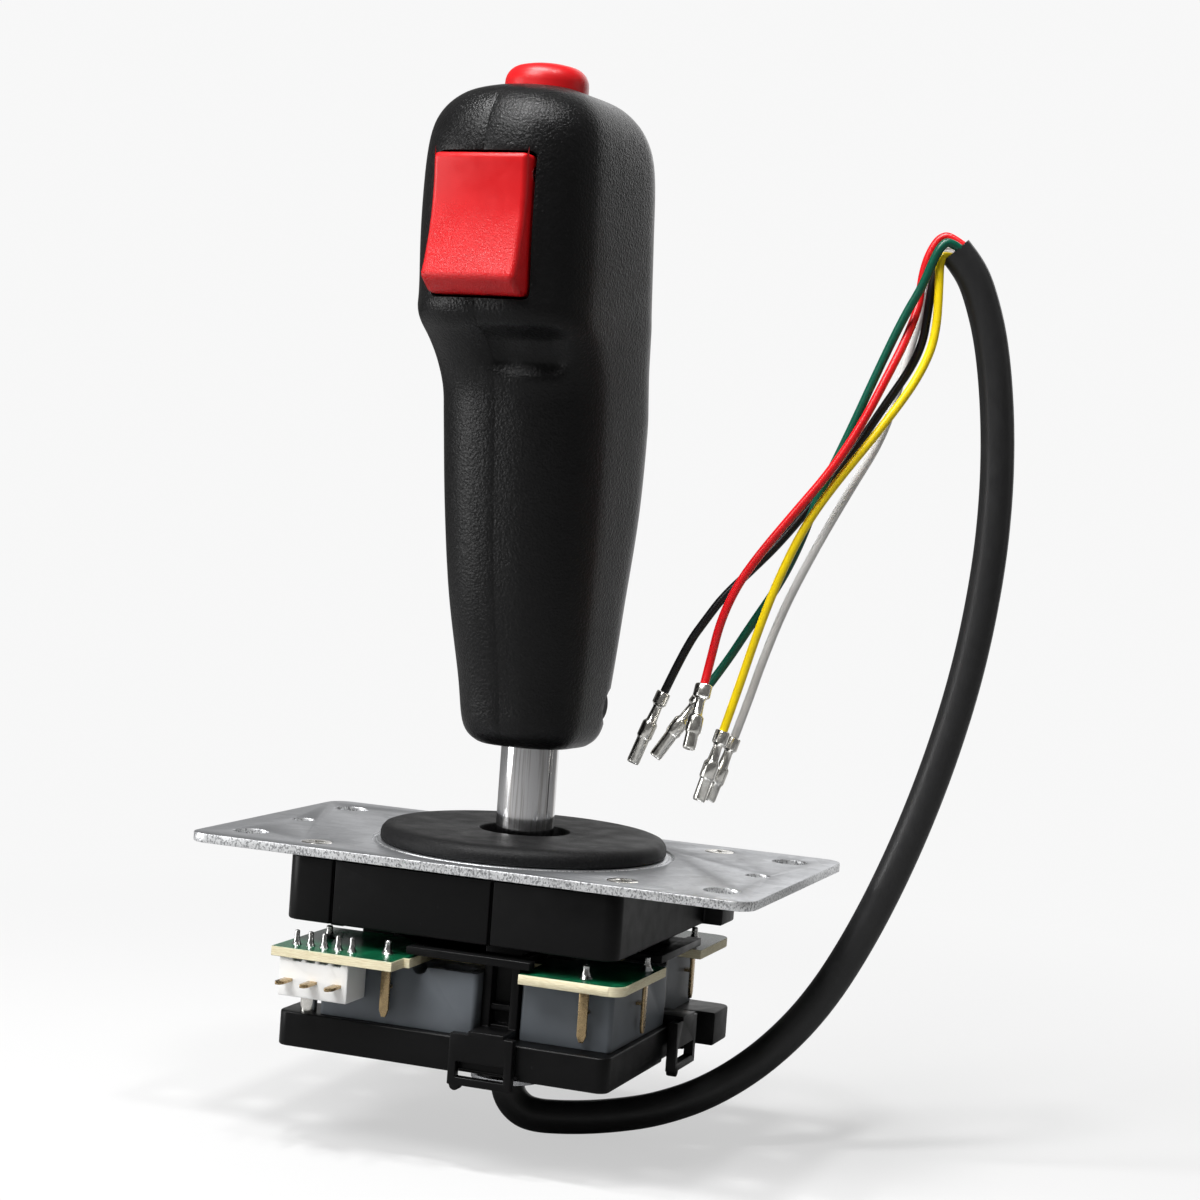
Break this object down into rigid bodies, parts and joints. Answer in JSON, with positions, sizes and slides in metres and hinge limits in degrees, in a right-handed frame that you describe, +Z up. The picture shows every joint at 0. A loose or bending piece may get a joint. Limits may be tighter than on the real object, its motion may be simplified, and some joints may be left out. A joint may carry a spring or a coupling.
{
  "type": "arcade joystick lever",
  "caption": "Joystick lever with a pistol grip, trigger and top button on a switch base under a steel mounting plate, with a loose cable and crimped wires.",
  "frame": {"origin": "centre of the mounting plate's top face, where the plate meets the underside of the panel", "axes": "+Z up the shaft, +X along the plate's long side, -Y towards the trigger"},
  "size_m": [0.1243, 0.0679, 0.181],
  "materials": {
    "zinc_steel": "galvanised, satin",
    "nickel": "bright nickel plate",
    "chrome": "polished",
    "washer_black": "fine grain, semi-matt",
    "housing_black": "moulded, half gloss",
    "grip_black": "pebble grain",
    "red_plastic": "satin gloss",
    "grey_plastic": "moulded, matt",
    "board_green": "solder resist over fibreboard",
    "white_nylon": "matt",
    "brass": "bright",
    "spring_steel": "bright",
    "cable_black": "smooth, semi-matt",
    "wire_red": "smooth",
    "wire_green": "smooth",
    "wire_black": "smooth",
    "wire_yellow": "smooth",
    "wire_white": "smooth"
  },
  "bodies": {
    "base": {"mounting_plate": "zinc_steel", "dust_washer": "washer_black", "plate_screw_front_left": "nickel", "plate_screw_front_right": "nickel", "plate_screw_back_right": "nickel", "plate_screw_back_left": "nickel", "upper_housing": "housing_black", "circuit_board": "board_green", "switch_frame": "housing_black", "bottom_cover": "housing_black", "cover_stud": "nickel", "connector_block": "white_nylon", "connector_blade_left": "brass", "connector_blade_middle": "brass", "connector_blade_right": "brass", "connector_leads": "nickel", "microswitch_front": "grey_plastic", "face_tab_front": "brass", "end_tab_front": "brass", "microswitch_right": "grey_plastic", "face_tab_right": "brass", "end_tab_right": "brass", "microswitch_back": "grey_plastic", "face_tab_back": "brass", "end_tab_back": "brass", "microswitch_left": "grey_plastic", "face_tab_left": "brass", "end_tab_left": "brass"},
    "bearing": {"bearing_ring": "white_nylon"},
    "lever": {"pivot_ball": "nickel", "shaft": "chrome", "spring_seat": "spring_steel", "centring_spring": "spring_steel", "actuator": "housing_black", "retaining_ring": "spring_steel", "cable_bush": "cable_black", "grip_left": "grip_black", "grip_right": "grip_black", "grip_screw_upper": "nickel", "grip_screw_lower": "nickel", "trigger_pin": "spring_steel", "trigger_switch": "housing_black", "button_switch": "housing_black", "cable_jacket": "cable_black", "wire_red": "wire_red", "terminal_red": "nickel", "wire_green": "wire_green", "terminal_green": "nickel", "wire_black": "wire_black", "terminal_black": "nickel", "wire_yellow": "wire_yellow", "terminal_yellow": "nickel", "wire_white": "wire_white", "terminal_white": "nickel"},
    "trigger": {"trigger": "red_plastic"},
    "top_button": {"top_button": "red_plastic"},
    "plunger_front": {"switch_plunger_front": "red_plastic"},
    "plunger_right": {"switch_plunger_right": "red_plastic"},
    "plunger_back": {"switch_plunger_back": "red_plastic"},
    "plunger_left": {"switch_plunger_left": "red_plastic"}
  },
  "joints": [
    {"name": "tilt_front_back", "type": "hinge", "parent": "base", "child": "bearing", "pos_m": [0, 0, -0.009], "axis": [1, 0, 0], "range_deg": [-8, 8], "stiffness_Nm_per_rad": 2},
    {"name": "tilt_left_right", "type": "hinge", "parent": "bearing", "child": "lever", "pos_m": [0, 0, -0.009], "axis": [0, 1, 0], "range_deg": [-8, 8], "stiffness_Nm_per_rad": 2},
    {"name": "trigger_pull", "type": "hinge", "parent": "lever", "child": "trigger", "pos_m": [-0.00315, -0.02762, 0.1114], "axis": [0.9936, -0.1132, 0], "range_deg": [0, 6], "stiffness_Nm_per_rad": 0.6},
    {"name": "button_press", "type": "slide", "parent": "lever", "child": "top_button", "axis": [0, 0, -1], "range_m": [0, 0.0022], "stiffness_N_per_m": 600},
    {"name": "plunger_press_front", "type": "slide", "parent": "base", "child": "plunger_front", "axis": [0, -1, 0], "range_m": [0, 0.0007], "stiffness_N_per_m": 400},
    {"name": "plunger_press_right", "type": "slide", "parent": "base", "child": "plunger_right", "axis": [1, 0, 0], "range_m": [0, 0.0007], "stiffness_N_per_m": 400},
    {"name": "plunger_press_back", "type": "slide", "parent": "base", "child": "plunger_back", "axis": [0, 1, 0], "range_m": [0, 0.0007], "stiffness_N_per_m": 400},
    {"name": "plunger_press_left", "type": "slide", "parent": "base", "child": "plunger_left", "axis": [-1, 0, 0], "range_m": [0, 0.0007], "stiffness_N_per_m": 400}
  ]
}
